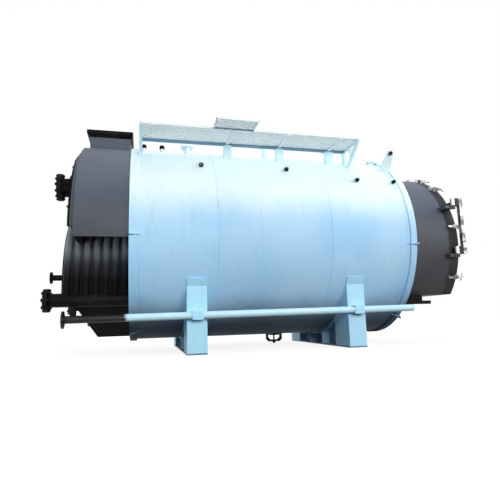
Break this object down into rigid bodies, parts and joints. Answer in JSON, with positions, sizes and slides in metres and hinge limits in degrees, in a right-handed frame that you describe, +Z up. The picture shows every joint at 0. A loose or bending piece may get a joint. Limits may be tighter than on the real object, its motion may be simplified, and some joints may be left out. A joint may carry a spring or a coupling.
{
  "type": "horizontal fire-tube boiler",
  "caption": "Horizontal fire-tube boiler on saddles with a bent-tube reversal chamber, smokeboxes at both ends, a hinged smokebox door and shoulder walkways.",
  "frame": {"origin": "on the floor, under the middle of the object's box", "axes": "+X along the boiler from the reversal chamber to the smokebox door, +Y away from the door's hinge, +Z up"},
  "size_m": [5.745, 3.114, 3.3],
  "materials": {
    "shell_paint": "weathered sky-blue enamel",
    "saddle_paint": "sky-blue enamel, scuffed",
    "walkway_paint": "pale blue enamel on perforated plate",
    "smokebox_paint": "dark grey heat-resisting paint",
    "black_paint": "black bitumen paint, dusty",
    "bare_steel": "bare steel, lightly rusted"
  },
  "bodies": {
    "boiler": {"shell_barrel": "shell_paint", "end_plates": "shell_paint", "end_rings": "shell_paint", "ring_gussets": "shell_paint", "lifting_lugs": "shell_paint", "steam_nozzle": "shell_paint", "feed_nozzle": "shell_paint", "vent_nozzle": "shell_paint", "hand_hole": "shell_paint", "saddle_bases": "saddle_paint", "saddle_posts": "saddle_paint", "saddle_webs": "saddle_paint", "saddle_ribs": "saddle_paint", "saddle_wrappers": "saddle_paint", "near_feed_pipe": "saddle_paint", "far_feed_pipe": "saddle_paint", "pipe_clips": "saddle_paint", "near_walkway": "walkway_paint", "far_walkway": "walkway_paint", "walkway_landings": "walkway_paint", "walkway_legs": "walkway_paint", "walkway_arms": "walkway_paint", "walkway_struts": "walkway_paint", "left_smokebox_shell": "smokebox_paint", "left_smokebox_end": "smokebox_paint", "left_smokebox_cover": "smokebox_paint", "outlet_neck": "smokebox_paint", "right_smokebox_shell": "smokebox_paint", "door_frame": "smokebox_paint", "membrane_arch": "black_paint", "headers": "black_paint", "blank_flanges": "black_paint", "chamber_end_wall": "black_paint", "drain_stub": "black_paint", "ash_hopper": "black_paint", "drop_pipes": "black_paint", "inspection_nozzles": "black_paint", "outlet_flange": "black_paint", "safety_nozzles": "black_paint", "gauge_stubs": "black_paint", "mud_hole_bridge": "black_paint", "lower_bracket": "black_paint", "dog_ears": "bare_steel"},
    "door": {"smokebox_door": "smokebox_paint", "door_dogs": "bare_steel"}
  },
  "joints": [
    {"name": "smokebox_door_hinge", "type": "hinge", "parent": "boiler", "child": "door", "pos_m": [2.7125, -1.262, 1.555], "axis": [0, 0, -1], "range_deg": [0, 115]}
  ]
}
